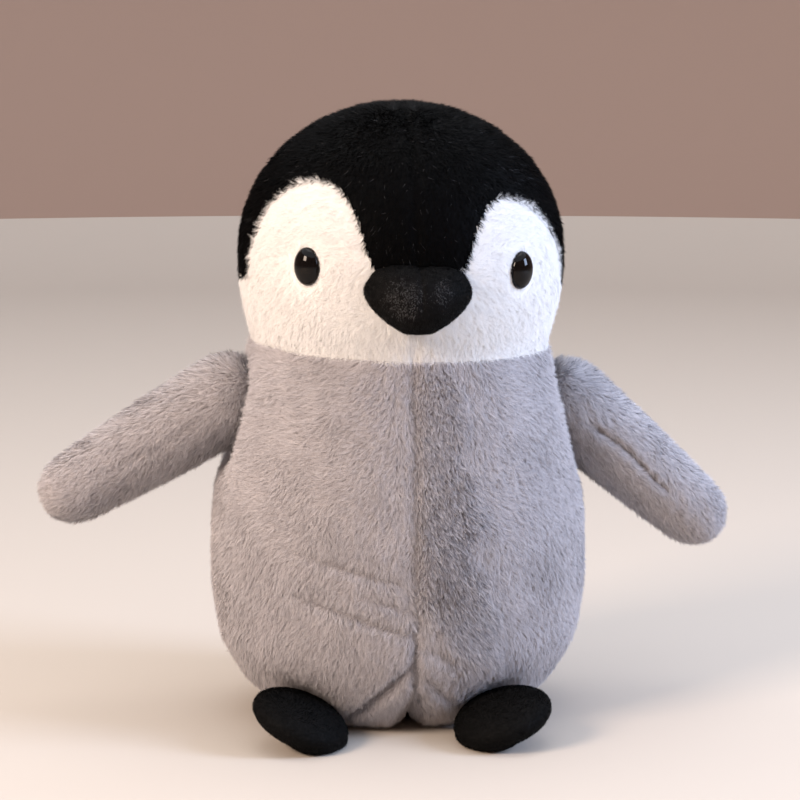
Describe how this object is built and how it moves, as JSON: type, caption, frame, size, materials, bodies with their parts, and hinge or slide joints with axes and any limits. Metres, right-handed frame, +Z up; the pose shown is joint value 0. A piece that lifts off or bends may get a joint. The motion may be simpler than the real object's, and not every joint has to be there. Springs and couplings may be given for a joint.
{
  "type": "plush penguin",
  "caption": "Free-standing stuffed penguin soft toy with a round head, sewn beak and eyes, flippers that flap and swing, and feet that tip up.",
  "frame": {"origin": "on the floor, at the middle of the flat base panel", "axes": "+Z up through the head, -Y the way the penguin faces, +X towards its left flipper"},
  "size_m": [0.4253, 0.2183, 0.3743],
  "materials": {
    "grey_fur": "matte",
    "white_fur": "matte",
    "black_fur": "matte",
    "black_velour": "matte",
    "fibrefill": "matte",
    "eye_plastic": "gloss",
    "washer_plastic": "satin",
    "grey_thread": "matte",
    "black_thread": "matte"
  },
  "bodies": {
    "torso": {"body_front_left_panel": "grey_fur", "body_front_right_panel": "grey_fur", "body_back_left_panel": "grey_fur", "body_back_right_panel": "grey_fur", "body_base_panel": "grey_fur", "body_stuffing": "fibrefill", "base_seam_thread": "grey_thread", "neck_seam_thread": "grey_thread", "head_cap_left_panel": "black_fur", "head_cap_right_panel": "black_fur", "face_left_panel": "white_fur", "face_right_panel": "white_fur", "head_stuffing": "fibrefill", "eye_left": "eye_plastic", "eye_right": "eye_plastic", "eye_washer_left": "washer_plastic", "eye_washer_right": "washer_plastic", "beak_upper_panel": "black_velour", "beak_lower_panel": "black_velour", "beak_stuffing": "fibrefill"},
    "flipper_left_root": {"flipper_left_seam_allowance": "grey_fur"},
    "flipper_left": {"flipper_left_top_panel": "grey_fur", "flipper_left_bottom_panel": "grey_fur", "flipper_left_stuffing": "fibrefill"},
    "foot_left": {"foot_left_upper_panel": "black_velour", "foot_left_sole_panel": "black_velour", "foot_left_stuffing": "fibrefill", "foot_left_seam_thread": "black_thread"},
    "flipper_right_root": {"flipper_right_seam_allowance": "grey_fur"},
    "flipper_right": {"flipper_right_top_panel": "grey_fur", "flipper_right_bottom_panel": "grey_fur", "flipper_right_stuffing": "fibrefill"},
    "foot_right": {"foot_right_upper_panel": "black_velour", "foot_right_sole_panel": "black_velour", "foot_right_stuffing": "fibrefill", "foot_right_seam_thread": "black_thread"}
  },
  "joints": [
    {"name": "flipper_left_swing", "type": "hinge", "parent": "torso", "child": "flipper_left_root", "pos_m": [0.104, 0, 0.1905], "axis": [0, 0, -1], "range_deg": [-30, 35], "stiffness_Nm_per_rad": 0.35},
    {"name": "flipper_left_flap", "type": "hinge", "parent": "flipper_left_root", "child": "flipper_left", "pos_m": [0.104, 0, 0.1905], "axis": [0, -1, 0], "range_deg": [-7, 66], "stiffness_Nm_per_rad": 0.5, "springref_deg": 2.86},
    {"name": "foot_left_tip", "type": "hinge", "parent": "torso", "child": "foot_left", "pos_m": [0.04026, -0.06118, 0.0155], "axis": [-0.9272, -0.3746, 0], "range_deg": [0, 10], "stiffness_Nm_per_rad": 0.4},
    {"name": "flipper_right_swing", "type": "hinge", "parent": "torso", "child": "flipper_right_root", "pos_m": [-0.104, 0, 0.1965], "axis": [0, 0, 1], "range_deg": [-30, 35], "stiffness_Nm_per_rad": 0.35},
    {"name": "flipper_right_flap", "type": "hinge", "parent": "flipper_right_root", "child": "flipper_right", "pos_m": [-0.104, 0, 0.1965], "axis": [0, 1, 0], "range_deg": [-18, 55], "stiffness_Nm_per_rad": 0.5, "springref_deg": 2.86},
    {"name": "foot_right_tip", "type": "hinge", "parent": "torso", "child": "foot_right", "pos_m": [-0.05626, -0.05318, 0.0155], "axis": [-0.9272, 0.3746, 0], "range_deg": [0, 10], "stiffness_Nm_per_rad": 0.4}
  ]
}
